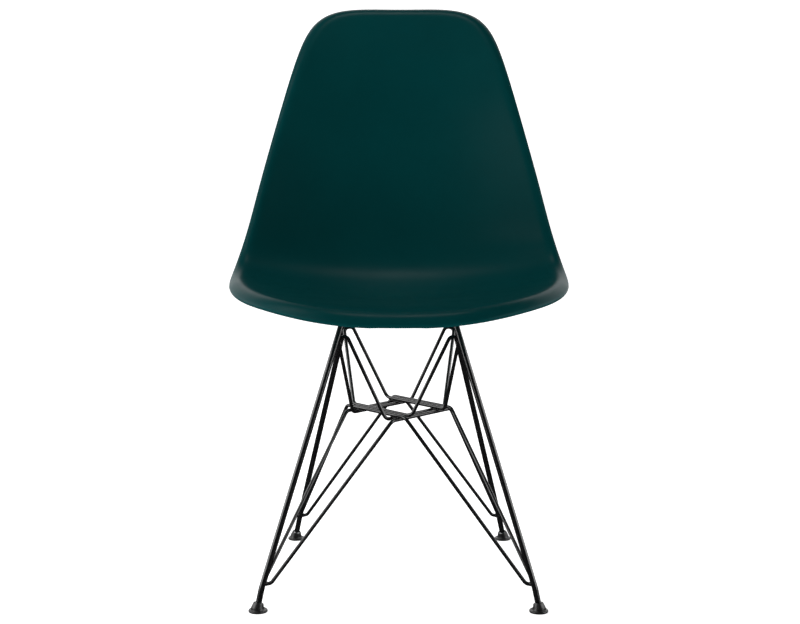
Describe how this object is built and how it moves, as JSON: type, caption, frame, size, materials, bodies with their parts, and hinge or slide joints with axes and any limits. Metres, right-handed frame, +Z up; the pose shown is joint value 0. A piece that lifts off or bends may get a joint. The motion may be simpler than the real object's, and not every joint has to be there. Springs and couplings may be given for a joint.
{
  "type": "shell chair",
  "caption": "Moulded plastic shell chair with a dished seat and raked back on splayed bent rods, braced by a lattice of thin wires, with self-levelling glides.",
  "frame": {"origin": "on the floor under the middle of the overall box", "axes": "+Z up, +Y towards the back of the chair (the front faces -Y), +X to the right as seen from the front"},
  "size_m": [0.481, 0.5503, 0.8257],
  "materials": {
    "shell_plastic": "satin moulded polypropylene, dark teal",
    "frame_metal": "black powder coat, fine satin texture",
    "glide_plastic": "moulded black nylon",
    "mount_rubber": "plain black rubber",
    "screw_steel": "zinc plated steel",
    "ball_steel": "plain steel",
    "insert_brass": "turned brass"
  },
  "bodies": {
    "chair": {"brace_loop_high": "frame_metal", "brace_loop_low": "frame_metal", "glide_ball_front_left": "ball_steel", "glide_ball_front_right": "ball_steel", "glide_ball_rear_left": "ball_steel", "glide_ball_rear_right": "ball_steel", "mount_plate_front_left": "frame_metal", "mount_plate_front_right": "frame_metal", "mount_plate_rear_left": "frame_metal", "mount_plate_rear_right": "frame_metal", "mounting_screws": "screw_steel", "screw_washers": "screw_steel", "seat_shell": "shell_plastic", "shock_mount_front_left": "mount_rubber", "shock_mount_front_right": "mount_rubber", "shock_mount_rear_left": "mount_rubber", "shock_mount_rear_right": "mount_rubber", "side_frame_left": "frame_metal", "side_frame_right": "frame_metal", "strut_wire_front_left": "frame_metal", "strut_wire_front_right": "frame_metal", "strut_wire_rear_left": "frame_metal", "strut_wire_rear_right": "frame_metal", "threaded_inserts": "insert_brass"},
    "glide_front_left": {"glide_front_left": "glide_plastic"},
    "glide_rear_left": {"glide_rear_left": "glide_plastic"},
    "glide_front_right": {"glide_front_right": "glide_plastic"},
    "glide_rear_right": {"glide_rear_right": "glide_plastic"}
  },
  "joints": [
    {"name": "glide_tilt_front_left", "type": "hinge", "parent": "chair", "child": "glide_front_left", "pos_m": [-0.183, -0.2299, 0.0078], "axis": [0, 1, 0], "range_deg": [-5, 5]},
    {"name": "glide_tilt_rear_left", "type": "hinge", "parent": "chair", "child": "glide_rear_left", "pos_m": [-0.1604, 0.1296, 0.0078], "axis": [0, 1, 0], "range_deg": [-5, 5]},
    {"name": "glide_tilt_front_right", "type": "hinge", "parent": "chair", "child": "glide_front_right", "pos_m": [0.183, -0.2299, 0.0078], "axis": [0, 1, 0], "range_deg": [-5, 5]},
    {"name": "glide_tilt_rear_right", "type": "hinge", "parent": "chair", "child": "glide_rear_right", "pos_m": [0.1604, 0.1296, 0.0078], "axis": [0, 1, 0], "range_deg": [-5, 5]}
  ]
}
